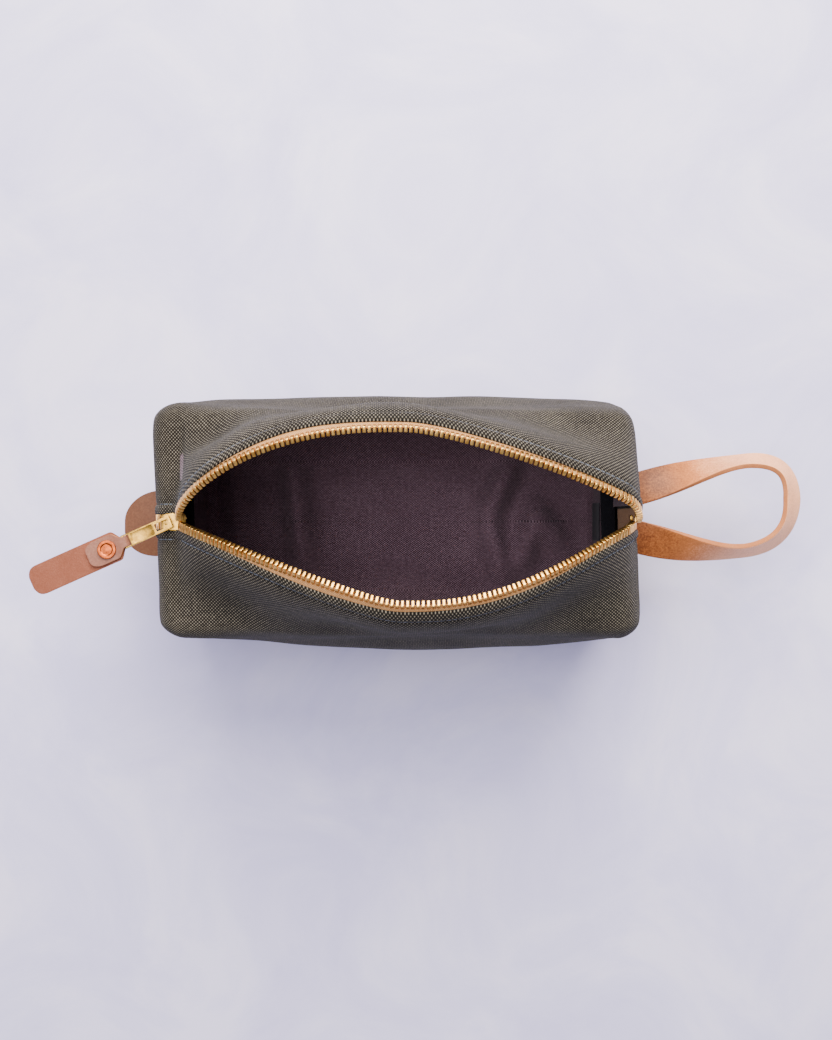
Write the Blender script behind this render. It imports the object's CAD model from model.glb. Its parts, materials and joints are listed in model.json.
# %% [markdown]
# An open canvas kit bag. The rigid model is loaded first and stays as it is: every soft piece
# below is built round it, in the same metres, and then told which of its bodies to follow.

# %% Load the frame
import math
import json

import bpy
import numpy as np
from mathutils import Matrix, Vector, noise

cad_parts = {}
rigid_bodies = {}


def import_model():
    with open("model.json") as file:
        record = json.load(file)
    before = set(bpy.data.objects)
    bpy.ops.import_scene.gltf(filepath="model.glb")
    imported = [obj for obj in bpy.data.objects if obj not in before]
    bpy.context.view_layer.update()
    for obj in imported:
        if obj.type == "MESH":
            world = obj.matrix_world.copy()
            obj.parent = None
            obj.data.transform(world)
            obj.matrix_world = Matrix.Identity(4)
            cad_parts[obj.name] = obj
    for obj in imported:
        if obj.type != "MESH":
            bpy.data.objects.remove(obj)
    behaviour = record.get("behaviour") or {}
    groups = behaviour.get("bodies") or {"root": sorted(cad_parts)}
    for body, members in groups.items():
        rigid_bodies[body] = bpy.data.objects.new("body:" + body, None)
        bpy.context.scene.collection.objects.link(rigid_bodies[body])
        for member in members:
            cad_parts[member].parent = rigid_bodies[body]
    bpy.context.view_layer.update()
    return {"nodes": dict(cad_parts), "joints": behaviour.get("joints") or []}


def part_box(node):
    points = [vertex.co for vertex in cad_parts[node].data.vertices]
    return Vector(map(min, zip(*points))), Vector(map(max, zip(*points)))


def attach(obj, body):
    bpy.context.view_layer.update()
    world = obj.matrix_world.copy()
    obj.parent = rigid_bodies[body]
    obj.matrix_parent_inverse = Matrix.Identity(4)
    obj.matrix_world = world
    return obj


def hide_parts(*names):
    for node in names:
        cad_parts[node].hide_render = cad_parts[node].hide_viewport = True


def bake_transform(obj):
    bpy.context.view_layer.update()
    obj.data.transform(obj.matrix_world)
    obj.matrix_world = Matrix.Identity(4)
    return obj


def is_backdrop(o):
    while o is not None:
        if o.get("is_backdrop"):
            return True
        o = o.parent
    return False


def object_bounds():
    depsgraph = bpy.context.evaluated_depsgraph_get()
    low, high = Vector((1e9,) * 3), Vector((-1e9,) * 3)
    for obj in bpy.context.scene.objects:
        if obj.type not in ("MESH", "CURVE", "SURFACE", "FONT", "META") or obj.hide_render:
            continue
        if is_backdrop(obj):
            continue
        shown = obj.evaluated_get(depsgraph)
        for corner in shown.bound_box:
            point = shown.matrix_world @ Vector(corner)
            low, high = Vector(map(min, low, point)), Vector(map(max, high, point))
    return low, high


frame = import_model()

# %% [markdown]
# The bag's own sizes come from the nodes: the outer canvas is a box with rounded edges, the
# lining lies inside it, and the two lips of the mouth turn on the joints named here.

# %% Sizes read from the frame
MM = 0.001
body_low, body_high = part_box("outer_canvas")
LENGTH = body_high.x - body_low.x
WIDTH = body_high.y - body_low.y
HEIGHT = body_high.z - body_low.z
EDGE = 10 * MM
SEAM_Z = HEIGHT / 2
RIM_Z = HEIGHT - EDGE
FLAT_X = LENGTH / 2 - EDGE
FLAT_Y = WIDTH / 2 - EDGE
CANVAS = 1.2 * MM
TAPE_DEPTH = 1.8 * MM
LINING_DEPTH = 2.4 * MM
FOLD_EDGE = 3.7 * MM
JOINTS = {joint["name"]: joint for joint in frame["joints"]}
NAME_OF_SIDE = {-1: "front", 1: "back"}
print("body", round(LENGTH, 4), round(WIDTH, 4), round(HEIGHT, 4), list(JOINTS))

# %% [markdown]
# A few helpers that the lesson uses again and again: deselect everything, add a primitive that
# is already at its size and place, and pick vertices, edges or faces by a rule.

# %% Helpers for modelling


def deselect():
    if bpy.context.object and bpy.context.object.mode != "OBJECT":
        bpy.ops.object.mode_set(mode="OBJECT")
    bpy.ops.object.select_all(action="DESELECT")


def use(piece):
    """Make one piece active and the only one selected."""
    deselect()
    bpy.context.view_layer.objects.active = piece
    piece.select_set(True)


def named(name):
    piece = bpy.context.object
    piece.name = name
    piece.data.name = name
    return piece


def add_box(name, low, high):
    """A cube primitive from one corner to the other, with its size in its mesh."""
    deselect()
    low, high = Vector(low), Vector(high)
    bpy.ops.mesh.primitive_cube_add(size=1, location=(low + high) / 2)
    piece = named(name)
    piece.scale = high - low
    bpy.ops.object.transform_apply(location=True, rotation=True, scale=True)
    return piece


def pick(piece, kind, rule):
    """In edit mode, select the VERT, EDGE or FACE elements whose middle passes the rule."""
    use(piece)
    bpy.ops.object.mode_set(mode="EDIT")
    bpy.ops.mesh.select_mode(type=kind)
    bpy.ops.mesh.select_all(action="DESELECT")
    bpy.ops.object.mode_set(mode="OBJECT")
    mesh = piece.data
    places = [v.co for v in mesh.vertices]
    if kind == "VERT":
        group, middles = mesh.vertices, places
    elif kind == "EDGE":
        group = mesh.edges
        middles = [(places[e.vertices[0]] + places[e.vertices[1]]) / 2 for e in group]
    else:
        group = mesh.polygons
        middles = [p.center for p in group]
    count = 0
    for item, middle in zip(group, middles):
        item.select = bool(rule(middle, item))
        count += item.select
    bpy.ops.object.mode_set(mode="EDIT")
    return count


def done():
    bpy.ops.object.mode_set(mode="OBJECT")


def points_of(piece):
    flat = np.empty(len(piece.data.vertices) * 3)
    piece.data.vertices.foreach_get("co", flat)
    return flat.reshape(-1, 3)


def set_points(piece, points):
    piece.data.vertices.foreach_set("co", np.asarray(points, float).ravel())
    piece.data.update()


def modifier(piece, kind, apply=True, **settings):
    """Add a modifier with its settings, and apply it unless it may stay live."""
    use(piece)
    made = piece.modifiers.new(kind.title(), kind)
    for key, value in settings.items():
        setattr(made, key, value)
    if apply:
        bpy.ops.object.modifier_apply(modifier=made.name)
    return made


def soften(piece, levels=1):
    """Smooth shading and a live subdivision surface."""
    use(piece)
    bpy.ops.object.shade_smooth()
    modifier(piece, "SUBSURF", apply=False, levels=levels, render_levels=levels)


def tris(piece):
    shape = piece.evaluated_get(bpy.context.evaluated_depsgraph_get()).to_mesh()
    return sum(len(p.vertices) - 2 for p in shape.polygons)


# %% [markdown]
# Materials. Each starts from a Principled shader. One function turns a hex colour into the
# linear values that Blender mixes with, and one small function adds a node with its links.

# %% Helpers for materials


def hex_color(code):
    """An sRGB hex colour as linear RGBA."""
    parts = [int(code[i:i + 2], 16) / 255 for i in (1, 3, 5)]
    return [p / 12.92 if p <= 0.04045 else ((p + 0.055) / 1.055) ** 2.4 for p in parts] + [1.0]


def node(tree, kind, links=None, **values):
    """Add a shader node: values that name an input set it, others set the node itself."""
    made = tree.nodes.new(kind)
    for key, value in values.items():
        if hasattr(made, key):
            setattr(made, key, value)
        else:
            made.inputs[key.replace("_", " ")].default_value = value
    for socket, source in (links or {}).items():
        tree.links.new(source, made.inputs[socket])
    return made


def math_node(tree, operation, *values):
    """A maths node whose inputs are numbers or the outputs of other nodes."""
    made = node(tree, "ShaderNodeMath", operation=operation)
    for socket, value in enumerate(values):
        if isinstance(value, (int, float)):
            made.inputs[socket].default_value = value
        else:
            tree.links.new(value, made.inputs[socket])
    return made.outputs[0]


def ramp(tree, factor, *stops):
    """A colour ramp from (position, hex colour) stops."""
    made = node(tree, "ShaderNodeValToRGB", {"Fac": factor})
    while len(made.color_ramp.elements) < len(stops):
        made.color_ramp.elements.new(0.5)
    for element, (position, code) in zip(made.color_ramp.elements, stops):
        element.position = position
        element.color = hex_color(code)
    return made.outputs["Color"]


def new_material(name, roughness, metallic=0.0, **extra):
    material = bpy.data.materials.new(name)
    material.use_nodes = True
    tree = material.node_tree
    shader = tree.nodes["Principled BSDF"]
    shader.inputs["Roughness"].default_value = roughness
    shader.inputs["Metallic"].default_value = metallic
    for key, value in extra.items():
        shader.inputs[key.replace("_", " ")].default_value = value
    return material, tree, shader


def bump(tree, shader, height, distance, strength=1.0, under=None):
    links = {"Height": height}
    if under is not None:
        links["Normal"] = under
    made = node(tree, "ShaderNodeBump", links, Strength=strength, Distance=distance)
    tree.links.new(made.outputs["Normal"], shader.inputs["Normal"])
    return made.outputs["Normal"]


def wear(piece, material):
    piece.data.materials.clear()
    piece.data.materials.append(material)


# %% [markdown]
# Plain-weave cloth. Warp and weft pass over and under each other in turn, so the surface is a
# chequer of little bumps. Two sine waves multiplied give just that: one repeat is two threads.
# The cloth map is in metres, so the wave's count is 1 / (two thread spacings).

# %% Woven cloth


def woven(name, thread_mm, dark, middle, light, roughness, relief_mm, sheen, slub=0.5):
    material, tree, shader = new_material(name, roughness, Sheen_Weight=sheen,
                                          Sheen_Roughness=0.5, IOR=1.45)
    shader.inputs["Specular IOR Level"].default_value = 0.12
    cloth = node(tree, "ShaderNodeUVMap", uv_map="cloth")
    wobble = node(tree, "ShaderNodeTexNoise", {"Vector": cloth.outputs["UV"]}, Scale=160.0,
                  Detail=2.0)
    shift = node(tree, "ShaderNodeVectorMath", {0: wobble.outputs["Color"]}, operation="SCALE",
                 Scale=thread_mm * 0.25 * MM)
    place = node(tree, "ShaderNodeVectorMath", {0: cloth.outputs["UV"], 1: shift.outputs[0]},
                 operation="ADD")
    split = node(tree, "ShaderNodeSeparateXYZ", {"Vector": place.outputs[0]})
    turn = math.pi / (thread_mm * MM)
    warp = math_node(tree, "SINE", math_node(tree, "MULTIPLY", split.outputs["X"], turn))
    weft = math_node(tree, "SINE", math_node(tree, "MULTIPLY", split.outputs["Y"], turn))
    weave = math_node(tree, "MULTIPLY", warp, weft)
    height = math_node(tree, "MULTIPLY_ADD", weave, 0.5, 0.5)
    uneven = node(tree, "ShaderNodeTexNoise", {"Vector": cloth.outputs["UV"]}, Scale=420.0,
                  Detail=3.0, Roughness=0.7)
    broad = node(tree, "ShaderNodeTexNoise", {"Vector": cloth.outputs["UV"]}, Scale=28.0,
                 Detail=4.0, Roughness=0.6)
    tone = math_node(tree, "MULTIPLY_ADD", uneven.outputs["Fac"], slub, -0.16)
    tone = math_node(tree, "MULTIPLY_ADD", broad.outputs["Fac"], 0.2, tone)
    level = math_node(tree, "MULTIPLY_ADD", height, 0.62, tone)
    color = ramp(tree, level, (0.12, dark), (0.48, middle), (0.88, light))
    tree.links.new(color, shader.inputs["Base Color"])
    relief = math_node(tree, "ADD", height, math_node(tree, "MULTIPLY", uneven.outputs["Fac"], 0.5))
    bump(tree, shader, relief, relief_mm * MM, 0.9)
    return material


CANVAS_CLOTH = woven("waxed cotton duck canvas", 0.92, "#060505", "#201d17", "#8f8776", 0.8, 0.4,
                     0.05, slub=0.35)
LINING_CLOTH = woven("plum cotton canvas lining", 0.9, "#2c1c22", "#57424b", "#9a828a", 0.85, 0.2,
                     0.1)
TAPE_CLOTH = woven("tan herringbone zip tape", 0.45, "#7d5330", "#a8794a", "#cda473", 0.8, 0.08,
                   0.1)
BINDING_CLOTH = woven("black twill seam binding", 0.5, "#050506", "#111215", "#26272c", 0.85, 0.08,
                      0.1)

# %% [markdown]
# The mouth. With the zip closed the bag is a rounded box, which is easy to model. To open it,
# every point of a lip turns about the fold line at the top of the wall. How far it turns
# depends on how far along the zip it is, and fades out round the fold. The same share of the
# joint's turn is kept on each point, so the joint closes the mouth again exactly.

# %% How far the mouth stands open along the zip
PEAK = {1: 2.5 * MM, -1: 3.9 * MM}
WIDEST = {1: math.radians(73.9), -1: math.radians(68.6)}
REACH = {(1, -1): 114 * MM, (1, 1): 132.6 * MM, (-1, -1): 114 * MM, (-1, 1): 127 * MM}
SHAPE = {(1, -1): (1.9, 0.42), (1, 1): (1.0, 0.425), (-1, -1): (0.95, 0.54), (-1, 1): (1.8, 0.74)}
ROUND = 0.13


def opening(along, side):
    """The lip's turn, in radians, at places along the unrolled zip."""
    turn = np.zeros_like(along)
    for end in (-1, 1):
        power, root = SHAPE[side, end]
        span = REACH[side, end] - end * PEAK[side]
        share = np.clip((along - PEAK[side]) * end / span, 0, 1)
        share = (np.hypot(share, ROUND) - ROUND) / (math.hypot(1, ROUND) - ROUND)
        on_this_end = (along - PEAK[side]) * end >= 0
        turn = np.where(on_this_end, WIDEST[side] * (1 - share ** power) ** root, turn)
    return turn


def along_zip(points):
    """Distance along the zip from the middle of the bag, over the edge and down each end."""
    over = np.maximum(np.abs(points[:, 0]) - FLAT_X, 0)
    lean = np.where(points[:, 2] > RIM_Z, np.arctan2(over, points[:, 2] - RIM_Z + 1e-9),
                    np.where(over > 0, math.pi / 2, 0))
    return np.sign(points[:, 0]) * (np.minimum(np.abs(points[:, 0]), FLAT_X) + EDGE * lean)


FOLD_BELOW = 22 * MM


def past_fold(points):
    """0 low on the wall, 1 on the lip, and a smooth share round the fold between them."""
    out = np.abs(points[:, 1]) - FLAT_Y
    up = points[:, 2] - RIM_Z
    arc = np.arctan2(np.maximum(up, 0), np.maximum(out, 1e-9)) * EDGE + np.minimum(up, 0)
    share = np.clip((arc + FOLD_BELOW) / (EDGE * math.pi / 2 + FOLD_BELOW), 0, 1) ** 1.5
    return share * share * (3 - 2 * share)


def turn_lip(points, angle, side):
    """Turn points of a lip outwards by their own angles about the fold line."""
    hinge = JOINTS[NAME_OF_SIDE[side] + "_lip_close"]["pos_m"]
    y, z = points[:, 1] - hinge[1], points[:, 2] - hinge[2]
    c, s = np.cos(angle), np.sin(angle) * -side
    return np.stack([points[:, 0], hinge[1] + y * c - z * s, hinge[2] + y * s + z * c], axis=1)


def joint_turn(side):
    return math.radians(max(abs(v) for v in JOINTS[NAME_OF_SIDE[side] + "_lip_close"]["range_deg"]))


def outward(points):
    """The way out of the closed box, for points near the zip on the top or an end."""
    over = np.maximum(np.abs(points[:, 0]) - FLAT_X, 0) * np.sign(points[:, 0])
    up = np.maximum(points[:, 2] - RIM_Z, 0)
    way = np.stack([over, np.zeros(len(points)), up], axis=1)
    return way / np.maximum(np.linalg.norm(way, axis=1), 1e-9)[:, None]


def raise_by(points, height):
    return points + outward(points) * height[:, None]


BOW = 9 * MM
CHAIN_PLACE = 2 * MM


def roll(across):
    """How the lip stands off the straight line from fold to zip, fullest a third of the way."""
    share = np.clip(across / FLAT_Y, 0, 1)
    return 6.75 * share * (1 - share) ** 2


def open_up(points, side):
    """Closed points to open ones, with each point's share of the joint's turn.

    The middle of a lip turns further than its edge, which bows it when it's open and still
    leaves it flat when it's closed.
    """
    turn = opening(along_zip(points), side)
    across = np.abs(points[:, 1])
    to_fold = np.clip((FLAT_Y - across) / (FLAT_Y - CHAIN_PLACE), 0, 1)
    off_line = np.maximum(roll(across) - roll(CHAIN_PLACE) * to_fold, 0)
    hinge = JOINTS[NAME_OF_SIDE[side] + "_lip_close"]["pos_m"]
    radius = np.hypot(points[:, 1] - hinge[1], points[:, 2] - hinge[2])
    lead = BOW * off_line / np.maximum(radius, 15 * MM) * turn / WIDEST[side]
    angle = (turn + lead) * past_fold(points)
    return turn_lip(points, angle, side), angle / joint_turn(side)


def follow_lip(piece):
    """Let a piece bend between the bag and a lip by the share kept for each of its points."""
    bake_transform(piece)


middle = np.array([[0.0, 2 * MM, HEIGHT]])
print("back lip stands", np.round(open_up(middle, 1)[0] / MM, 1), "mm")

# %% [markdown]
# Cloth is never quite flat. The walls belly out in the middle, the top sags a little, and slow
# noise adds the handling that waxed canvas keeps. All layers share this, so they stay parallel.

# %% Softness that all cloth layers share
END_BELLY = {-1: 4.5 * MM, 1: 1.2 * MM}
SHEAR = 0.035
CORNER_TUCK = 3.0 * MM
RUMPLE = 1.6 * MM


def wall_belly(x, side):
    """How far a long wall stands out at half height, along its length, in metres."""
    if side > 0:
        return (4.5 + 2.5 * np.clip(1 - (x / 0.125) ** 2, 0, 1)) * MM
    return (-3.5 + 12 * np.clip(1 - ((x - 0.010) / 0.142) ** 2, 0, 1)) * MM


def softened(points):
    """Belly the walls and rumple the cloth, away from the zip and from the base."""
    out = points.copy()
    x, y = points[:, 0] / (LENGTH / 2), points[:, 1] / (WIDTH / 2)
    wave = np.sin(math.pi * np.clip(points[:, 2] / HEIGHT, 0, 1))
    for side in (-1, 1):
        here = points[:, 1] * side > 0
        bulge = wall_belly(points[:, 0], side) * wave ** 0.7 * np.abs(y) ** 3
        out[:, 1] += np.where(here, side * bulge, 0)
    for end in (-1, 1):
        here = points[:, 0] * end > 0
        bulge = END_BELLY[end] * wave ** 0.4 * np.abs(x) ** 5
        out[:, 0] += np.where(here, end * bulge, 0)
    corner = np.clip((np.abs(x) + np.abs(y) - 1.72) / 0.28, 0, 1) ** 2 * CORNER_TUCK
    out[:, 0] -= np.sign(x) * corner
    out[:, 1] -= np.sign(y) * corner
    out[:, 0] -= SHEAR * points[:, 1] * np.clip(points[:, 2] / (40 * MM), 0, 1)
    hold = (np.clip((np.abs(points[:, 1]) - 12 * MM) / (20 * MM), 0, 1)
            * np.clip(points[:, 2] / (20 * MM), 0, 1))
    for i in np.nonzero(hold > 0.01)[0]:
        push = noise.noise_vector(Vector(points[i]) * 24)
        out[i] += np.array(push) * RUMPLE * hold[i]
    return out


# %% [markdown]
# A rounded box from cuts. A plain box is bisected along lines: close together near the zip and
# round the edges, further apart on the walls. Then each point in the last 10 mm before an edge
# is bent round it, which turns the sharp box into one with round edges and corners.

# %% Half of the rounded box


def lines(low, high, step):
    count = max(int(round((high - low) / step)), 1)
    return [low + (high - low) * i / count for i in range(count + 1)]


def edge_lines(half, radius):
    return [half - radius * (1 - i / 3) for i in range(3)]


def round_edges(points, low, high, radius):
    """Bend a sharp box's points round its edges; the cut lines become even steps of arc."""
    out = np.empty_like(points)
    bend = np.zeros_like(points)
    for axis in range(3):
        middle, half = (low[axis] + high[axis]) / 2, (high[axis] - low[axis]) / 2
        off = points[:, axis] - middle
        into = np.clip((np.abs(off) - (half - radius)) / radius, 0, 1)
        out[:, axis] = middle + np.sign(off) * np.minimum(np.abs(off), half - radius)
        bend[:, axis] = np.sign(off) * np.tan(into * math.pi / 4)
    length = np.linalg.norm(bend, axis=1)
    return out + bend / np.maximum(length, 1e-9)[:, None] * radius


def cloth_map(piece, grain=(0, 0)):
    """A map in metres, laid flat on each face from the side that it faces most."""
    mesh = piece.data
    layer = mesh.uv_layers.get("cloth") or mesh.uv_layers.new(name="cloth")
    mesh.uv_layers.active = layer
    for polygon in mesh.polygons:
        n = polygon.normal
        axis = max(range(3), key=lambda i: abs(n[i]))
        u, v = ((1, 2), (0, 2), (0, 1))[axis]
        for loop in polygon.loop_indices:
            co = mesh.vertices[mesh.loops[loop].vertex_index].co
            layer.data[loop].uv = (co[u] + grain[0], co[v] + grain[1])


LAP = 0.8 * MM
LAP_STEP = 0.1 * MM


def lap_over(piece, side):
    """Lap one half's edge over the other's at the middle, so that no light comes through."""
    points = points_of(piece)
    at_middle = np.abs(points[:, 1]) < 1e-6
    points[at_middle, 1] -= side * LAP
    if side > 0:
        inward = np.array([0, 0, HEIGHT / 2]) - points[at_middle]
        inward[:, 0] = np.where(np.abs(points[at_middle, 0]) > FLAT_X, inward[:, 0], 0)
        inward[:, 2] = np.where(points[at_middle, 2] < EDGE, inward[:, 2], 0)
        points[at_middle] += np.sign(inward) * LAP_STEP
    set_points(piece, points)


def half_box(name, side, depth, zip_lines, step):
    """One side of the rounded box: wall, half the top, half the base and half of each end."""
    low = (depth - LENGTH / 2, 0, depth)
    high = (LENGTH / 2 - depth, WIDTH / 2 - depth, HEIGHT - depth)
    radius = EDGE - depth
    piece = add_box(name, low, high)
    bpy.ops.object.mode_set(mode="EDIT")
    x_edges = edge_lines(high[0], radius)
    cuts = {0: [-x for x in x_edges] + lines(-FLAT_X, FLAT_X, step)[1:-1] + x_edges,
            1: zip_lines + lines(zip_lines[-1], FLAT_Y, step * 1.4)[1:-1] + edge_lines(high[1], radius),
            2: [low[2] + radius * (1 - i / 3) for i in range(3)]
            + lines(EDGE, SEAM_Z, step * 1.4)[1:] + lines(SEAM_Z, RIM_Z, step * 1.4)[1:-1]
            + edge_lines(high[2], radius)}
    for axis, places in cuts.items():
        for place in places:
            co, no = [0, 0, 0], [0, 0, 0]
            co[axis], no[axis] = place, 1
            bpy.ops.mesh.select_all(action="SELECT")
            bpy.ops.mesh.bisect(plane_co=co, plane_no=no)
    slot = zip_lines[0]
    pick(piece, "FACE", lambda c, f: c.y < 1e-6 or (c.y < slot and c.z > SEAM_Z
                                                    and (abs(c.x) > high[0] - 1e-5 or c.z > high[2] - 1e-5)))
    bpy.ops.mesh.delete(type="FACE")
    done()
    cloth_map(piece)
    full_low = (low[0], -high[1], low[2])
    set_points(piece, round_edges(points_of(piece), full_low, high, radius))
    if side < 0:
        piece.data.transform(Matrix.Scale(-1, 4, (0, 1, 0)))
        piece.data.flip_normals()
    return piece


# %% [markdown]
# The outer canvas. Beside the zip its edge is folded under and topstitched, which leaves a
# raised ridge about 5 mm wide with a shallow groove where the thread pulls the cloth down. The
# ridge is a height added along the cut lines nearest the zip. Solidify then gives the cloth its
# thickness, inwards, so the outside keeps its size.

# %% Outer canvas, front and back
RIDGE_WIDTH = 5.0 * MM
RIDGE_HEIGHT = 1.5 * MM
STITCH_LINE = FOLD_EDGE + RIDGE_WIDTH + 0.6 * MM
GROOVE = 0.55 * MM
SINK = 1.2 * MM     # the cloth beside the zip lies low, so that the closed pull clears it
ZIP_LINES = [FOLD_EDGE + offset * MM for offset in (0.0, 0.5, 1.6, 3.0, 4.2, 5.0, 5.8, 7.0, 9.5)]


def ridge(distance):
    """Height of the folded edge above the cloth, by distance from the middle of the zip."""
    rise = np.clip((STITCH_LINE - 0.3 * MM - distance) / (1.3 * MM), 0, 1)
    rise = rise * rise * (3 - 2 * rise)
    turned = np.clip((FOLD_EDGE + 0.7 * MM - distance) / (0.7 * MM), 0, 1)
    groove = np.exp(-((distance - STITCH_LINE) / (0.9 * MM)) ** 2)
    sink = SINK * np.clip(1 - distance / (26 * MM), 0, 1)
    return RIDGE_HEIGHT * rise * (1 - 0.75 * turned * turned) - GROOVE * groove - sink


# Places where the loose cloth dips between the fold and the zip: along, across, depth, radius
DIMPLES = {1: ((-97, 38, 9.0, 13), (86, 36, 5.0, 18), (-40, 44, 3.5, 18), (30, 40, 3.0, 16)),
           -1: ((94, 34, 6.5, 16), (-92, 36, 6.5, 16), (-30, 40, 3.0, 14), (40, 42, 4.0, 18))}


def dimpled(points, side):
    out = points.copy()
    for along, across, depth, radius in DIMPLES[side]:
        far = np.hypot((points[:, 0] - along * MM) / 1.5, np.abs(points[:, 1]) - across * MM)
        dip = np.exp(-(far / (radius * MM)) ** 2) * depth * MM
        on_top = np.clip((points[:, 2] - RIM_Z) / EDGE, 0, 1)
        out[:, 2] -= dip * on_top
    return out


# Where the fold lies further from the teeth and shows more tape: along, extra, spread
SLACK = {1: ((-50, 0.9, 26),), -1: ((-44, 1.5, 32), (76, 0.4, 22))}


def slackened(points, distance, side):
    """Shift the folded edge away from the teeth in places, and let it fade out past the ridge."""
    out = points.copy()
    hold = np.clip(1 - (distance - FOLD_EDGE) / (14 * MM), 0, 1)
    for along, extra, spread in SLACK[side]:
        near = np.exp(-((points[:, 0] - along * MM) / (spread * MM)) ** 2)
        out[:, 1] += side * extra * MM * near * hold
    return out


for side in (-1, 1):
    piece = half_box(NAME_OF_SIDE[side] + "_canvas", side, 0.0, ZIP_LINES, 4.2 * MM)
    closed = points_of(piece)
    above_seam = np.interp(closed[:, 2], (SEAM_Z + 2 * MM, SEAM_Z + 8 * MM, RIM_Z, HEIGHT),
                           (0, 0.35, 0.5, 1))
    shaped = raise_by(closed, ridge(np.abs(closed[:, 1])) * above_seam)
    shaped = slackened(shaped, np.abs(closed[:, 1]), side)
    shaped = dimpled(softened(shaped), side)
    opened, shares = open_up(shaped, side)
    set_points(piece, opened)
    modifier(piece, "SOLIDIFY", apply=False, thickness=CANVAS, offset=-1,
             edge_crease_rim=1.0)
    soften(piece)
    wear(piece, CANVAS_CLOTH)
    lap_over(piece, side)
    follow_lip(piece)
    print(piece.name, tris(piece), "triangles")
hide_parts("outer_canvas", "back_canvas_lip")
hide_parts("front_canvas_lip")

# %% [markdown]
# The lining is the same shape a few millimetres further in, with creases where the spare cloth
# folds on the floor of the bag.

# %% Lining, front and back
LINING_EDGE = 8.5 * MM
LINING_LINES = [LINING_EDGE, LINING_EDGE + 1.5 * MM, LINING_EDGE + 5 * MM]
# Creases on the floor: start and end in plan, height and width, all in millimetres
CREASES = ((-68, 44, -60, -30, 16, 8), (70, 40, 54, 4, 16, 8), (54, 4, 64, -40, 13, 8),
           (74, -30, 84, 8, 12, 8), (84, 8, 100, -16, 10, 8), (-104, 34, -96, -34, 8, 9),
           (-20, -16, 16, -30, 5, 14))


def gathered(points):
    """Draw the foot of the lining in, because it hangs loose inside the canvas."""
    out = points.copy()
    foot = 0.34 * np.clip(1 - points[:, 2] / (50 * MM), 0, 1) ** 1.6
    out[:, 1] *= 1 - foot * np.where(points[:, 1] > 0, 1.3, 1.0)
    out[:, 0] *= 1 - foot * 0.12
    return out


def creased(points):
    out = points.copy()
    low = np.clip(1 - (points[:, 2] - LINING_DEPTH) / (8 * MM), 0, 1)
    for x0, y0, x1, y1, height, width in CREASES:
        start, run = np.array([x0, y0]) * MM, np.array([x1 - x0, y1 - y0]) * MM
        share = np.clip(((points[:, :2] - start) @ run) / (run @ run), 0, 1)
        off = points[:, :2] - start - share[:, None] * run
        far = np.linalg.norm(off, axis=1)
        taper = np.sin(math.pi * np.clip(share * 0.9 + 0.05, 0, 1)) ** 0.5
        out[:, 2] += np.exp(-(far / (width * MM)) ** 2) * height * MM * taper * low
    return out


for side in (-1, 1):
    piece = half_box(NAME_OF_SIDE[side] + "_lining", side, LINING_DEPTH, LINING_LINES, 3.6 * MM)
    closed = points_of(piece)
    lowered = -1.9 * MM * np.clip(1 - np.abs(closed[:, 1]) / (34 * MM), 0, 1)
    shaped = creased(gathered(dimpled(softened(raise_by(closed, lowered)), side)))
    opened, shares = open_up(shaped, side)
    set_points(piece, opened)
    modifier(piece, "SOLIDIFY", apply=False, thickness=0.6 * MM, offset=-1, edge_crease_rim=1.0)
    soften(piece)
    wear(piece, LINING_CLOTH)
    lap_over(piece, side)
    follow_lip(piece)
    print(piece.name, tris(piece), "triangles")
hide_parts("lining", "back_lining_lip")
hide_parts("front_lining_lip")

# %% [markdown]
# The zip tapes are woven ribbon. They run under the folded canvas and out to the teeth, and at
# each end they turn down into the end seam.

# %% Zip tapes
TAPE_NEAR = 1.9 * MM
TAPE_MEET = -0.3 * MM
TAPE_FAR = 7.6 * MM


def zip_strip(name, side, depth, near, far, step):
    """A ribbon along the closed zip, from one end seam over the top to the other."""
    deselect()
    over = EDGE * math.pi / 2
    half = FLAT_X + over + RIM_Z - SEAM_Z
    count = int(2 * half / step)
    bpy.ops.mesh.primitive_grid_add(x_subdivisions=count, y_subdivisions=4, size=1,
                                    calc_uvs=False)
    piece = named(name)
    grid = points_of(piece)
    along = grid[:, 0] * 2 * half
    inner = np.interp(np.abs(along), (FLAT_X + 10 * MM, FLAT_X + 18 * MM), (near, TAPE_MEET))
    across = far + (inner - far) * (grid[:, 1] + 0.5)
    layer = piece.data.uv_layers.new(name="cloth")
    for loop in piece.data.loops:
        i = loop.vertex_index
        layer.data[loop.index].uv = (along[i], across[i])
    set_points(piece, zip_place(along, across * side, depth))
    if side > 0:
        piece.data.flip_normals()
    return piece


def zip_place(along, across, depth):
    """Points of the closed zip's surface, by distance along and across it and depth below it."""
    radius = EDGE - depth
    turn = np.clip((np.abs(along) - FLAT_X) / EDGE, 0, math.pi / 2)
    down = np.maximum(np.abs(along) - FLAT_X - EDGE * math.pi / 2, 0)
    x = np.minimum(np.abs(along), FLAT_X) + radius * np.sin(turn)
    z = RIM_Z + radius * np.cos(turn) - down
    return np.stack([np.sign(along) * x, across + 0 * along, z], axis=1)


for side in (-1, 1):
    piece = zip_strip(NAME_OF_SIDE[side] + "_tape", side, TAPE_DEPTH - 0.3 * MM, TAPE_NEAR, TAPE_FAR,
                      2.6 * MM)
    closed = points_of(piece)
    opened, shares = open_up(softened(closed), side)
    set_points(piece, opened)
    modifier(piece, "SOLIDIFY", apply=False, thickness=0.6 * MM, offset=-1, edge_crease_rim=1.0)
    soften(piece)
    wear(piece, TAPE_CLOTH)
    follow_lip(piece)
    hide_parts(NAME_OF_SIDE[side] + "_zip_tape")
    print(piece.name, tris(piece), "triangles")

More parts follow.
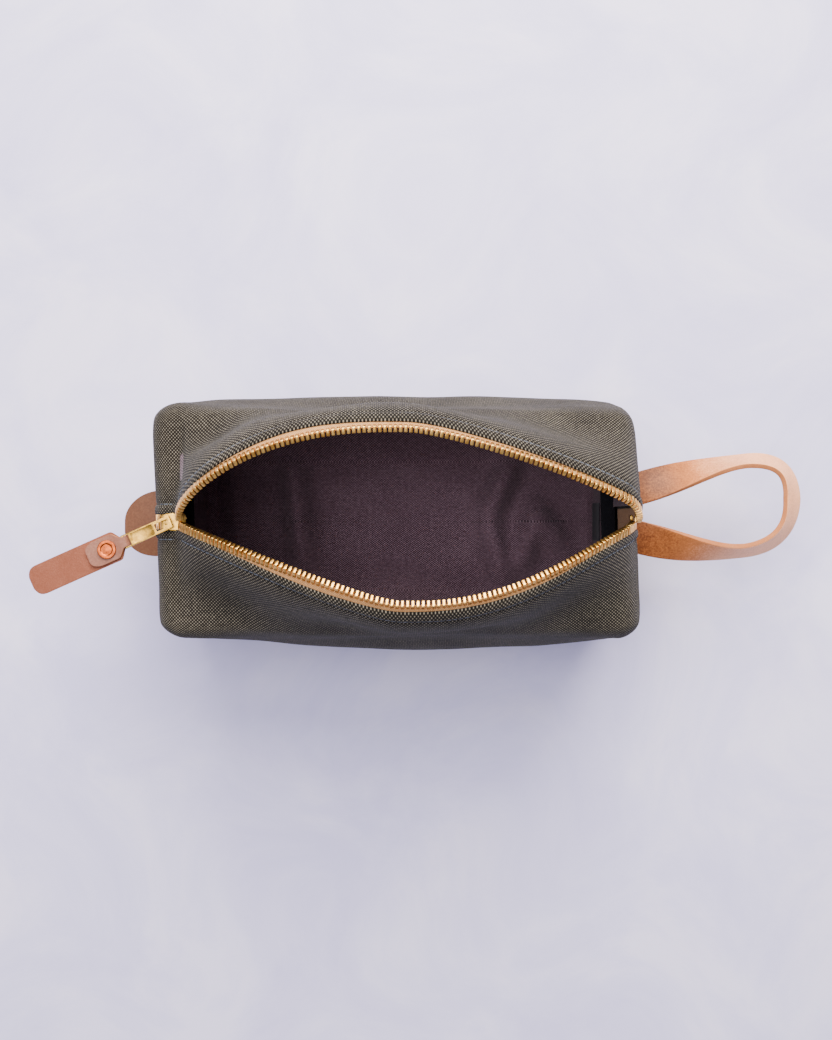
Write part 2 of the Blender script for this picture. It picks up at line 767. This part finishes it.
# %% [markdown]
# Brass. Golden brass is nearly a mirror with fine draw lines and a little tarnish in the
# hollows. A metal's colour is its reflection, so roughness does most of the work.

# %% Brass


def metal(name, bright, dull, roughness, scale):
    material, tree, shader = new_material(name, roughness, 1.0)
    place = node(tree, "ShaderNodeTexCoord")
    patches = node(tree, "ShaderNodeTexNoise", {"Vector": place.outputs["Object"]}, Scale=scale,
                   Detail=5.0, Roughness=0.65)
    color = ramp(tree, patches.outputs["Fac"], (0.32, dull), (0.62, bright))
    tree.links.new(color, shader.inputs["Base Color"])
    grain = node(tree, "ShaderNodeTexNoise", {"Vector": place.outputs["Object"]},
                 Scale=scale * 9, Detail=3.0)
    rough = math_node(tree, "MULTIPLY_ADD", grain.outputs["Fac"], 0.25, roughness - 0.1)
    tree.links.new(rough, shader.inputs["Roughness"])
    bump(tree, shader, grain.outputs["Fac"], 0.03 * MM, 0.6)
    return material


TOOTH_BRASS = metal("polished golden brass", "#f6c873", "#bd8638", 0.3, 300.0)
SLIDER_BRASS = metal("cast yellow brass", "#c39a45", "#775820", 0.3, 180.0)

# %% [markdown]
# A zip tooth is a small pressed block that straddles the tape's cord. One is modelled, then
# copied along both tapes, half a spacing apart, so that the two rows interlock when closed.

# %% Teeth
PITCH = 2.5 * MM
TOOTH = Vector((1.8, 4.0, 3.4)) * MM
TEETH_END = {-1: FLAT_X + 61 * MM, 1: FLAT_X + 15 * MM}


def model_tooth():
    """A tooth at the origin: +Y points at the other row, +Z out of the bag."""
    piece = add_box("tooth", -TOOTH / 2, TOOTH / 2)
    pick(piece, "FACE", lambda c, f: c.y > TOOTH.y * 0.45)
    bpy.ops.mesh.inset(thickness=0.3 * MM, depth=0.35 * MM)
    done()
    modifier(piece, "BEVEL", width=0.42 * MM, segments=2)
    return piece


def chain_line(along, across):
    return softened(zip_place(along, across, TAPE_DEPTH))


def spaced(side, first, last, pitch, across, surface):
    """Places along the closed zip whose spacing suits the open mouth and the closed one."""
    fine = np.linspace(first, last, 4000)
    line = surface(fine, np.full_like(fine, side * across))
    open_line, _ = open_up(line, side)
    open_step = np.linalg.norm(np.diff(open_line, axis=0), axis=1)
    closed_step = np.linalg.norm(np.diff(line, axis=0), axis=1)
    walked = np.concatenate([[0], np.cumsum(open_step ** 0.75 * closed_step ** 0.25)])
    marks = (np.arange(int(walked[-1] / pitch)) + 0.5 * (side > 0)) * pitch
    return np.interp(marks, walked, fine)


def row_of(name, side, pattern, marks, across, surface, lean, tilt):
    """Copies of a small pattern along the zip, each stiff and turned with the cloth."""
    step = 0.5 * MM
    place = surface(marks, np.full_like(marks, side * across))
    ahead = surface(marks + step, np.full_like(marks, side * across))
    inside = surface(marks, np.full_like(marks, side * (across - step)))
    at, shares = open_up(place, side)
    next_at, _ = open_up(ahead, side)
    angle = shares * joint_turn(side)
    flat_run = turn_lip(ahead, angle, side) - at
    rolled = open_up(inside, side)[0] - at
    across_run = turn_lip(inside, angle, side) * (1 - tilt) + (rolled + at) * tilt - at
    verts, faces = [], []
    shape = points_of(pattern)
    polygons = [list(p.vertices)[::-side] for p in pattern.data.polygons]
    for i in range(len(marks)):
        run, flat = Vector(next_at[i] - at[i]).normalized(), Vector(flat_run[i]).normalized()
        x_way = flat.lerp(run, lean).normalized()
        y_way = Vector(across_run[i])
        y_way = (y_way - x_way * y_way.dot(x_way)).normalized()
        z_way = x_way.cross(y_way) * -side
        first = len(verts)
        verts.extend(at[i] + shape @ np.array([x_way, y_way, z_way]))
        faces.extend([[first + v for v in p] for p in polygons])
    mesh = bpy.data.meshes.new(name)
    mesh.from_pydata([tuple(v) for v in verts], [], faces)
    piece = bpy.data.objects.new(name, mesh)
    bpy.context.scene.collection.objects.link(piece)
    use(piece)
    bpy.ops.object.shade_smooth_by_angle(angle=math.radians(40))
    follow_lip(piece)
    return piece


pattern = model_tooth()
for side in (-1, 1):
    marks = spaced(side, -TEETH_END[-1], TEETH_END[1], PITCH, CHAIN_PLACE, chain_line)
    piece = row_of(NAME_OF_SIDE[side] + "_teeth", side, pattern, marks, CHAIN_PLACE, chain_line,
                   0.7, 0.95)
    wear(piece, TOOTH_BRASS)
    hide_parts(NAME_OF_SIDE[side] + "_tooth_chain")
    print(piece.name, len(marks), "teeth", tris(piece), "triangles")
bpy.data.objects.remove(pattern)

# %% [markdown]
# Stops. Each row ends in a small brass staple pressed round its tape. The stop at the other end
# joins both tapes. They're boxes with rounded edges, set on the cloth like the teeth.

# %% Stops at the ends of the rows


def model_staple(length, width, height):
    piece = add_box("staple", (-length / 2, -width / 2, -height / 2), (length / 2, width / 2, height / 2))
    pick(piece, "FACE", lambda c, f: c.z > height * 0.45)
    bpy.ops.mesh.inset(thickness=0.6 * MM, depth=-0.2 * MM)
    done()
    modifier(piece, "BEVEL", width=0.35 * MM, segments=2)
    return piece


pattern = model_staple(3.4 * MM, 2.9 * MM, 3.2 * MM)
for side in (-1, 1):
    at = np.array([TEETH_END[1] + 3.2 * MM])
    piece = row_of(NAME_OF_SIDE[side] + "_stop", side, pattern, at, 2.1 * MM, chain_line, 1.0, 0.5)
    wear(piece, SLIDER_BRASS)
    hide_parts(NAME_OF_SIDE[side] + "_top_stop")
bpy.data.objects.remove(pattern)

stop_low, stop_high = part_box("bottom_stop")
size = stop_high - stop_low
piece = model_staple(size.x, size.y, size.z)
piece.name = "closed_end_stop"
middle = np.array([list((stop_low + stop_high) / 2)])
set_points(piece, points_of(piece) + softened(middle)[0])
wear(piece, SLIDER_BRASS)
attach(piece, "bag")
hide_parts("bottom_stop")

# %% [markdown]
# Topstitching. One stitch is a short thread, thicker in the middle where it stands clear of the
# cloth, and it's copied into the groove beside the folded edge.

# %% Topstitching along both edges
THREAD, TREE, THREAD_SHADER = new_material("blue-grey waxed thread", 0.6)
place = node(TREE, "ShaderNodeTexCoord")
twist = node(TREE, "ShaderNodeTexNoise", {"Vector": place.outputs["Object"]}, Scale=900.0)
TREE.links.new(ramp(TREE, twist.outputs["Fac"], (0.35, "#30363e"), (0.65, "#646c75")),
               THREAD_SHADER.inputs["Base Color"])


def canvas_surface(along, across):
    flat = zip_place(along, across, 0.0)
    side = 1 if np.mean(across) > 0 else -1
    hold = np.interp(flat[:, 2], (RIM_Z, HEIGHT), (0.5, 1))
    raised = raise_by(flat, ridge(np.abs(flat[:, 1])) * hold + 0.25 * MM)
    return dimpled(softened(slackened(raised, np.abs(flat[:, 1]), side)), side)


deselect()
bpy.ops.mesh.primitive_cylinder_add(vertices=6, radius=0.3 * MM, depth=1.9 * MM,
                                    rotation=(0, math.pi / 2, 0))
bpy.ops.object.transform_apply(location=True, rotation=True, scale=True)
pattern = named("stitch")
pick(pattern, "FACE", lambda c, f: abs(c.x) > 0.9 * MM)
bpy.ops.mesh.inset(thickness=0.12 * MM, depth=0.25 * MM)
done()
for side in (-1, 1):
    marks = spaced(side, -FLAT_X - 9 * MM, FLAT_X + 9 * MM, 3.0 * MM, STITCH_LINE, canvas_surface)
    piece = row_of(NAME_OF_SIDE[side] + "_topstitch", side, pattern, marks, STITCH_LINE,
                   canvas_surface, 1.0, 1.0)
    wear(piece, THREAD)
    print(piece.name, len(marks), "stitches", tris(piece), "triangles")
bpy.data.objects.remove(pattern)

# %% [markdown]
# The slider. Two plates with turned-in sides hold the rows of teeth, and a post between them at
# the wide end pushes the rows apart. The bail on top carries the pull.

# %% Slider body and bail
body_low, body_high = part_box("slider_body")
mid_x = (body_low.x + body_high.x) / 2
PLATE = 1.1 * MM


def model_plate(name, low_z, high_z, turn):
    """A plate that narrows towards the closed end, with its sides turned towards the other."""
    piece = add_box(name, (body_low.x, body_low.y, low_z), (body_high.x, body_high.y, high_z))
    bpy.ops.object.mode_set(mode="EDIT")
    cuts = [((x, 0, 0), (1, 0, 0)) for x in (body_low.x + 3.0 * MM, mid_x, body_high.x - 3.2 * MM,
                                             body_high.x - 1.2 * MM)]
    cuts += [((0, y, 0), (0, 1, 0)) for y in (body_low.y + 0.9 * MM, body_high.y - 0.9 * MM)]
    for co, no in cuts:
        bpy.ops.mesh.select_all(action="SELECT")
        bpy.ops.mesh.bisect(plane_co=co, plane_no=no)
    face_z = low_z if turn < 0 else high_z
    pick(piece, "FACE", lambda c, f: abs(c.z - face_z) < 1e-6 and abs(c.y) > body_high.y - 0.9 * MM
         and c.x < body_high.x - 1.2 * MM)
    bpy.ops.mesh.extrude_region_move(TRANSFORM_OT_translate={"value": (0, 0, turn * 1.0 * MM)})
    done()
    points = points_of(piece)
    share = np.clip((points[:, 0] - body_low.x) / (body_high.x - body_low.x), 0, 1)
    points[:, 1] *= 0.76 + 0.24 * np.sin(share * math.pi * 0.62) ** 0.8
    points[:, 1] *= np.where(share > 0.97, 0.72, 1)
    set_points(piece, points)
    modifier(piece, "BEVEL", width=0.28 * MM, segments=2)
    return piece


top_plate = model_plate("slider", body_high.z - PLATE, body_high.z, -1)
under_plate = model_plate("slider_under", body_low.z, body_low.z + PLATE, 1)
post = add_box("slider_post", (body_high.x - 3.4 * MM, -1.0 * MM, body_low.z + 0.5 * MM),
               (body_high.x - 0.6 * MM, 1.0 * MM, body_high.z - 0.5 * MM))
use(top_plate)
under_plate.select_set(True)
post.select_set(True)
bpy.ops.object.join()
bpy.ops.object.shade_smooth_by_angle(angle=math.radians(35))
wear(top_plate, SLIDER_BRASS)
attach(top_plate, "slider")
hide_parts("slider_body")

crown_low, crown_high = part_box("slider_crown")
crown_mid = (crown_low + crown_high) / 2
outer = (crown_high.x - crown_low.x) / 2
band = add_box("slider_bail", (crown_mid.x + outer - 1.3 * MM, crown_low.y, crown_low.z - 0.1 * MM),
               (crown_high.x, crown_high.y, crown_low.z))
pick(band, "FACE", lambda c, f: c.z > crown_low.z - 1e-6)
bpy.ops.mesh.spin(steps=14, angle=-math.pi, center=(crown_mid.x, 0, crown_low.z), axis=(0, 1, 0))
bpy.ops.mesh.select_all(action="SELECT")
bpy.ops.mesh.remove_doubles(threshold=1e-6)
bpy.ops.mesh.normals_make_consistent(inside=False)
done()
points = points_of(band)
up = points[:, 2] - crown_low.z
rise = (crown_high.z - crown_low.z) / outer
points[:, 2] = crown_low.z + up * rise
points[:, 1] *= 1 + 0.25 * np.clip(1 - up / (1.5 * MM), 0, 1)
set_points(band, points)
modifier(band, "BEVEL", width=0.3 * MM, segments=2, limit_method="ANGLE")
use(band)
bpy.ops.object.shade_smooth_by_angle(angle=math.radians(40))
wear(band, SLIDER_BRASS)
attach(band, "slider")
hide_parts("slider_crown")

# %% [markdown]
# The pull is a flat brass tag: an eye that hooks round the bail, a rib, a plain sunk panel and a
# slot for the leather. The holes are cut out of a plain bar, and then every edge is rounded.

# %% Brass pull
PIVOT = Vector(JOINTS["pull_swing"]["pos_m"])
STRAP_PIVOT = Vector(JOINTS["leather_pull_swing"]["pos_m"])
REACH_OUT = STRAP_PIVOT - PIVOT
PULL_TURN = Matrix.Rotation(math.atan2(REACH_OUT.y, REACH_OUT.x), 4, "Z")


def put(piece, place):
    piece.data.transform(Matrix.Translation(place) @ PULL_TURN)


def carve(piece, low, high):
    """Cut a box out of a piece."""
    tool = add_box("tool", low, high)
    modifier(piece, "BOOLEAN", operation="DIFFERENCE", solver="EXACT", object=tool)
    bpy.data.objects.remove(tool)


pull = add_box("zip_tag", (-0.65 * MM, -3.7 * MM, -0.65 * MM), (26.65 * MM, 3.7 * MM, 0.65 * MM))
pick(pull, "VERT", lambda c, f: c.x < 0)
bpy.ops.transform.resize(value=(1, 0.9, 1), center_override=(0, 0, 0))
done()
carve(pull, (0.65 * MM, -2.0 * MM, -1 * MM), (8.0 * MM, 2.0 * MM, 1 * MM))
for up in (-1, 1):
    carve(pull, (9.6 * MM, -2.8 * MM, up * 0.35 * MM), (21.4 * MM, 2.8 * MM, up * 2 * MM))
carve(pull, (22.6 * MM, -2.9 * MM, -1 * MM), (25.2 * MM, 2.9 * MM, 1 * MM))
modifier(pull, "BEVEL", width=0.22 * MM, segments=2, limit_method="ANGLE")
use(pull)
bpy.ops.object.shade_smooth_by_angle(angle=math.radians(40))
put(pull, PIVOT)
wear(pull, SLIDER_BRASS)
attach(pull, "pull")
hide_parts("zip_pull")

# %% [markdown]
# Vegetable-tanned leather. The grain side is smooth with faint pores, the flesh side is rough
# and darker, and the cut edge is pale and fibrous. Solidify can give each its own material.

# %% Leather


def leather(name, dark, middle, light, roughness, grain_mm, relief_mm, fibre=1.0, pale_at=None):
    material, tree, shader = new_material(name, roughness, Subsurface_Weight=0.05, IOR=1.45)
    shader.inputs["Subsurface Scale"].default_value = 1 * MM
    shader.inputs["Specular IOR Level"].default_value = 0.2
    place = node(tree, "ShaderNodeTexCoord")
    stretch = node(tree, "ShaderNodeMapping", {"Vector": place.outputs["Object"]})
    stretch.inputs["Scale"].default_value = (1, 1, fibre)
    patch = node(tree, "ShaderNodeTexNoise", {"Vector": stretch.outputs[0]}, Scale=70.0,
                 Detail=6.0, Roughness=0.6)
    grain = node(tree, "ShaderNodeTexNoise", {"Vector": stretch.outputs[0]},
                 Scale=1 / (grain_mm * MM), Detail=4.0, Roughness=0.7)
    level = math_node(tree, "MULTIPLY_ADD", grain.outputs["Fac"], 0.34, 0.24)
    level = math_node(tree, "MULTIPLY_ADD", patch.outputs["Fac"], 0.18, level)
    if pale_at:
        split = node(tree, "ShaderNodeSeparateXYZ", {"Vector": place.outputs["Object"]})
        along = node(tree, "ShaderNodeMapRange", {"Value": split.outputs["X"]})
        along.interpolation_type = "SMOOTHSTEP"
        for key, value in zip(("From Min", "From Max", "To Min", "To Max"), pale_at):
            along.inputs[key].default_value = value
        level = math_node(tree, "ADD", level, along.outputs["Result"])
    color = ramp(tree, level, (0.3, dark), (0.5, middle), (0.72, light))
    tree.links.new(color, shader.inputs["Base Color"])
    bump(tree, shader, grain.outputs["Fac"], relief_mm * MM, 0.7)
    return material


GRAIN_SIDE = leather("vegetable-tanned leather, grain side", "#5e3116", "#b46c38", "#f8b17c",
                     0.42, 1.1, 0.05, pale_at=(LENGTH / 2, LENGTH / 2 + 0.085, -0.2, 0.19))
FLESH_SIDE = leather("vegetable-tanned leather, flesh side", "#5c3322", "#7b4835", "#99654e",
                     0.85, 0.7, 0.2)
CUT_EDGE = leather("vegetable-tanned leather, cut edge", "#7e4524", "#a9693f", "#d39a6e", 0.8,
                   0.5, 0.15, fibre=3.0)
TAB_GRAIN = leather("oiled tan leather, grain side", "#46291a", "#66402a", "#825a3e", 0.45, 1.2,
                    0.06)
PULL_GRAIN = leather("handled tan leather, grain side", "#5d3728", "#7f5443", "#9f7663", 0.45, 1.1,
                     0.06)


def ribbon(name, rows, columns, thickness, grain, start_twist=0):
    """A leather sheet from rows of (middle, across): grain side out, flesh side in."""
    deselect()
    bpy.ops.mesh.primitive_grid_add(x_subdivisions=len(rows) - 1, y_subdivisions=columns,
                                    size=2, calc_uvs=False)
    piece = named(name)
    grid = points_of(piece)
    middles = np.array([list(middle) for middle, _ in rows])
    across = np.array([list(way) for _, way in rows])
    row = np.rint((grid[:, 0] + 1) / 2 * (len(rows) - 1)).astype(int)
    set_points(piece, middles[row] + across[row] * grid[:, 1][:, None])
    piece.data.materials.clear()
    for material in (grain, FLESH_SIDE, CUT_EDGE):
        piece.data.materials.append(material)
    modifier(piece, "SOLIDIFY", thickness=thickness, offset=-1, material_offset=1,
             material_offset_rim=2, use_even_offset=True)
    modifier(piece, "BEVEL", width=0.35 * MM, segments=2, limit_method="ANGLE",
             angle_limit=math.radians(50))
    soften(piece)
    print(name, tris(piece), "triangles")
    return piece


# %% [markdown]
# The leather pull: one strip folded round the end bar of the brass tag. The short flap shows its
# smooth side, the long layer under it shows the rough one, and a rivet holds both together.

# %% Leather pull
STRIP = 1.6 * MM
LOOP = 2.5 * MM
FLAP_END, STRIP_END = 20.5 * MM, 53.5 * MM


def layer_top(distance):
    """Height of the strip's outer face above the middle of the bar, away from the fold."""
    tight = STRIP + 0.15 * MM
    share = np.clip((distance - 1 * MM) / (6 * MM), 0, 1)
    return LOOP + (tight - LOOP) * share * share * (3 - 2 * share)


def strip_half(distance, full, end, corner):
    """Half the strip's width: a neck at the fold, then full width with a rounded end."""
    neck = 2.7 * MM
    flare = np.clip((distance - 1.0 * MM) / (3.6 * MM), 0, 1)
    half = neck + (full - neck) * flare
    left = np.clip((end - distance) / corner, 0.0, 1)
    return half * (0.42 + 0.58 * np.sqrt(np.clip(1 - (1 - left) ** 2, 0, 1)))


rows = []
steps = FLAP_END * (1 - np.linspace(0, 1, 26) ** 1.6)
for distance in steps:
    half = strip_half(distance, 6.8 * MM, FLAP_END, 6.5 * MM)
    rows.append((Vector((distance, 0, layer_top(distance))), Vector((0, -half, 0))))
for i in range(1, 8):
    angle = math.pi / 2 + math.pi * i / 8
    rows.append((Vector((math.cos(angle) * LOOP, 0, math.sin(angle) * LOOP)),
                 Vector((0, -2.7 * MM, 0))))
for distance in STRIP_END * np.linspace(0, 1, 46) ** 1.15:
    half = strip_half(distance, 8.0 * MM, STRIP_END, 5.5 * MM)
    curl = -2.2 * MM * np.clip(distance / STRIP_END - 0.35, 0, 1) ** 2
    rows.append((Vector((distance, 0, -layer_top(distance) + curl)), Vector((0, -half, 0))))
strip = ribbon("leather_pull", rows, 8, STRIP, PULL_GRAIN)
put(strip, STRAP_PIVOT)
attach(strip, "leather_pull")
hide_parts("pull_strap")

# %% [markdown]
# The rivet: a copper head with a dished middle, and the burr under the strip.

# %% Rivet and burr
COPPER = metal("satin copper", "#b9602f", "#6f3015", 0.33, 260.0)
RIVET_AT = STRAP_PIVOT + REACH_OUT.normalized() * 9.5 * MM
FACE = STRIP + 0.2 * MM


def disc(name, radius, low, high):
    deselect()
    bpy.ops.mesh.primitive_cylinder_add(vertices=40, radius=radius, depth=high - low,
                                        location=(0, 0, (low + high) / 2))
    bpy.ops.object.transform_apply(location=True, rotation=True, scale=True)
    return named(name)


head = disc("rivet_head", 4.9 * MM, FACE, FACE + 1.15 * MM)
pick(head, "FACE", lambda c, f: c.z > FACE + 1.1 * MM)
bpy.ops.mesh.inset(thickness=1.7 * MM, depth=0)
bpy.ops.mesh.inset(thickness=0.35 * MM, depth=-0.45 * MM)
bpy.ops.mesh.inset(thickness=1.2 * MM, depth=0.25 * MM)
done()
modifier(head, "BEVEL", width=0.3 * MM, segments=3, limit_method="ANGLE")
shank = disc("rivet_shank", 1.5 * MM, -FACE - 1.0 * MM, FACE + 0.5 * MM)
use(head)
shank.select_set(True)
bpy.ops.object.join()
burr = disc("rivet_washer", 4.1 * MM, -FACE - 0.9 * MM, -FACE)
modifier(burr, "BEVEL", width=0.25 * MM, segments=2, limit_method="ANGLE")
for piece, target in ((head, "rivet"), (burr, "rivet_burr")):
    use(piece)
    bpy.ops.object.shade_smooth_by_angle(angle=math.radians(40))
    put(piece, RIVET_AT)
    wear(piece, COPPER)
    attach(piece, "leather_pull")
    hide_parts(target)

# %% [markdown]
# The end tab is a D-shaped piece of thicker leather, caught in the end seam. It droops a little.

# %% End tab
tab_low, tab_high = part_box("end_tab")
TAB_SHIFT = -2.5 * MM
rows = []
for share in 1 - (1 - np.linspace(0, 1, 24)) ** 2:
    x = tab_high.x + (tab_low.x - tab_high.x) * share
    left = np.clip((1 - share) / 0.68, 0, 1)
    half = tab_high.y * (0.14 + 0.86 * np.sqrt(np.clip(1 - (1 - left) ** 2.1, 0, 1)))
    rows.append((Vector((x, TAB_SHIFT * share, tab_high.z - 1.5 * MM * share * share)),
                 Vector((0, half, 0))))
tab = ribbon("end_tab_leather", rows[::-1], 10, tab_high.z - tab_low.z, TAB_GRAIN)
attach(tab, "tab")
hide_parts("end_tab")

# %% [markdown]
# The wrist strap is one band of leather. Both ends lie flat in the end seam, side by side. On
# the way out each leg turns over, until the band stands nearly on edge round the loop.

# %% Wrist strap
strap_low, strap_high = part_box("handle_strap")
BAND, BAND_THICK = 19 * MM, 2.9 * MM
ROOT_X = LENGTH / 2 + 0.5 * MM
REACH_X = 100 * MM
END_X = LENGTH / 2 + REACH_X
STRAP_SHIFT, STRAP_LEAN = 5 * MM, 8 * MM
ROUTE = [Vector((ROOT_X, 11.2 * MM)), Vector((ROOT_X + 42 * MM, 22 * MM)),
         Vector((END_X, 43 * MM)), Vector((END_X, 0))]


def band_row(share):
    """One row of the band's grain side: its middle and the way across it."""
    rest = 1 - share
    spot = (ROUTE[0] * rest ** 3 + ROUTE[1] * 3 * rest ** 2 * share
            + ROUTE[2] * 3 * rest * share ** 2 + ROUTE[3] * share ** 3)
    along = ((ROUTE[1] - ROUTE[0]) * rest ** 2 + (ROUTE[2] - ROUTE[1]) * 2 * rest * share
             + (ROUTE[3] - ROUTE[2]) * share ** 2).normalized()
    out = Vector((-along.y, along.x, 0))
    rise = math.sin(min(share / 0.55, 1) * math.pi / 2) ** 1.6
    tilt = math.radians(70 * rise - 20 * max(share - 0.55, 0) / 0.45)
    normal = Vector((0, 0, math.cos(tilt))) + out * math.sin(tilt)
    across = out * math.cos(tilt) - Vector((0, 0, math.sin(tilt)))
    middle = Vector((spot.x, spot.y, SEAM_Z)) + normal * BAND_THICK / 2
    return middle, across * BAND / 2


leg = [band_row(share) for share in np.linspace(0, 1, 40)]
other = [(Vector((m.x, -m.y, m.z)), Vector((a.x, -a.y, a.z))) for m, a in leg[-2::-1]]
loop = [(m + Vector((0, STRAP_SHIFT + STRAP_LEAN * ((m.x - LENGTH / 2) / REACH_X) ** 2, 0)), a)
        for m, a in leg + other]
strap = ribbon("wrist_strap", loop, 6, BAND_THICK, GRAIN_SIDE)
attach(strap, "strap")
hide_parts("handle_strap")

# %% [markdown]
# Inside, the seam allowances are bound in black twill. Each is a flat bar with soft edges, moved
# with the cloth that it's sewn to. A blank woven label hangs from the right one.

# %% Seam bindings and label
BODY = "outer_canvas"
NODES_OF_BINDINGS = ["left_end_binding", "right_end_binding", "front_left_binding",
                     "front_right_binding", "back_left_binding", "back_right_binding"]
for target in NODES_OF_BINDINGS:
    low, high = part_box(target)
    middle, size = (low + high) / 2, high - low
    if size.z < size.y:
        piece = add_box(target + "_tape", low, high)
        axis = 1
    else:
        reach, half = Vector((size.x, size.y)).length / 2 - 1.1 * MM, size.z / 2
        piece = add_box(target + "_tape", (-reach, -1.1 * MM, -half), (reach, 1.1 * MM, half))
        axis = 2
    bpy.ops.object.mode_set(mode="EDIT")
    for i in range(1, 12):
        co, no = [0, 0, 0], [0, 0, 0]
        start = low[axis] if axis == 1 else -half
        co[axis], no[axis] = start + size[axis] * i / 12, 1
        bpy.ops.mesh.select_all(action="SELECT")
        bpy.ops.mesh.bisect(plane_co=co, plane_no=no)
    done()
    if axis == 2:
        turn = math.atan2(middle.y, middle.x)
        corner = math.pi / 4 * (1 if middle.x * middle.y > 0 else -1)
        piece.data.transform(Matrix.Translation(middle) @ Matrix.Rotation(corner, 4, "Z"))
    modifier(piece, "BEVEL", width=0.7 * MM, segments=2, limit_method="ANGLE")
    cloth_map(piece)
    set_points(piece, gathered(softened(points_of(piece))))
    soften(piece)
    wear(piece, BINDING_CLOTH)
    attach(piece, "bag")
    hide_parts(target)

label_low, label_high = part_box("inner_label")
rows = []
for share in np.linspace(0, 1, 12):
    z = label_high.z + (label_low.z - label_high.z) * share
    x = (label_low.x + label_high.x) / 2 - 1.6 * MM * share * share
    rows.append((Vector((x, 0, z)), Vector((0, -label_high.y, 0))))
label = ribbon("blank_label", rows, 6, 0.6 * MM, BINDING_CLOTH)
wear(label, woven("black satin label", 0.35, "#08090a", "#15171b", "#2b2e34", 0.5, 0.04, 0.1))
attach(label, "bag")
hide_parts("inner_label")

# %% [markdown]
# The record lists the finishes by name. Each new piece says which of them it takes, so that the
# part can be repainted later. Thread has no finish of its own there.

# %% Name the finish of each piece
FINISHES = {CANVAS_CLOTH: "waxed_canvas", LINING_CLOTH: "lining_canvas", TAPE_CLOTH: "zip_tape",
            TOOTH_BRASS: "brass", SLIDER_BRASS: "brass", COPPER: "copper",
            GRAIN_SIDE: "veg_tan_leather", TAB_GRAIN: "veg_tan_leather",
            PULL_GRAIN: "veg_tan_leather", BINDING_CLOTH: "seam_binding"}
named_finishes = 0
for piece in bpy.context.scene.objects:
    if piece.type == "MESH" and piece.name not in frame["nodes"] and piece.data.materials:
        if piece.data.materials[0] in FINISHES:
            named_finishes += 1
print(named_finishes, "pieces have a named finish")

# %% [markdown]
# A plain pale stone floor, a large window behind the bag, and a weak light from above for the
# inside. The camera looks straight down, a little right of the middle of the bag.

# %% Floor, light and camera
deselect()
bpy.ops.mesh.primitive_plane_add(size=3.0, location=(0, 0, 0))
floor = named("floor")
stone, tree, shader = new_material("pale stone floor", 0.6)
place = node(tree, "ShaderNodeTexCoord")
cloud = node(tree, "ShaderNodeTexNoise", {"Vector": place.outputs["Object"]}, Scale=9.0,
             Detail=7.0, Roughness=0.62, Distortion=0.8)
tree.links.new(ramp(tree, cloud.outputs["Fac"], (0.36, "#c6c2e8"), (0.5, "#d0ccee"),
                    (0.62, "#dcd7f3")), shader.inputs["Base Color"])
wear(floor, stone)
floor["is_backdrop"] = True

CAMERA_X, CAMERA_Y, CAMERA_Z = 9.5 * MM, 1.0 * MM, 767 * MM
bpy.ops.object.camera_add(location=(CAMERA_X, CAMERA_Y, CAMERA_Z), rotation=(0, 0, 0))
camera = bpy.context.object
camera.name = "camera"
camera.data.lens = 42.1
camera.data.sensor_width = 36.0
bpy.context.scene.camera = camera


def add_light(name, place, target, size, power, color):
    bpy.ops.object.light_add(type="AREA", location=place)
    light = bpy.context.object
    light.name = name
    light.data.size = size
    light.data.energy = power
    light.data.color = hex_color(color)[:3]
    aim = Vector(target) - Vector(place)
    light.rotation_euler = aim.to_track_quat("-Z", "Y").to_euler()


add_light("window", (0.12, 0.85, 0.95), (0.02, 0.04, 0.05), 1.0, 58, "#fff8f0")
add_light("ceiling bounce", (-0.3, 0.1, 1.4), (0, 0, 0), 0.8, 19, "#f5f0fa")
world = bpy.data.worlds.new("soft room")
bpy.context.scene.world = world
world.use_nodes = True
world.node_tree.nodes["Background"].inputs["Color"].default_value = hex_color("#e4e6f8")
world.node_tree.nodes["Background"].inputs["Strength"].default_value = 0.5

# %% Finish
low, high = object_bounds()
print("visual box", [round(v, 4) for v in low], [round(v, 4) for v in high])
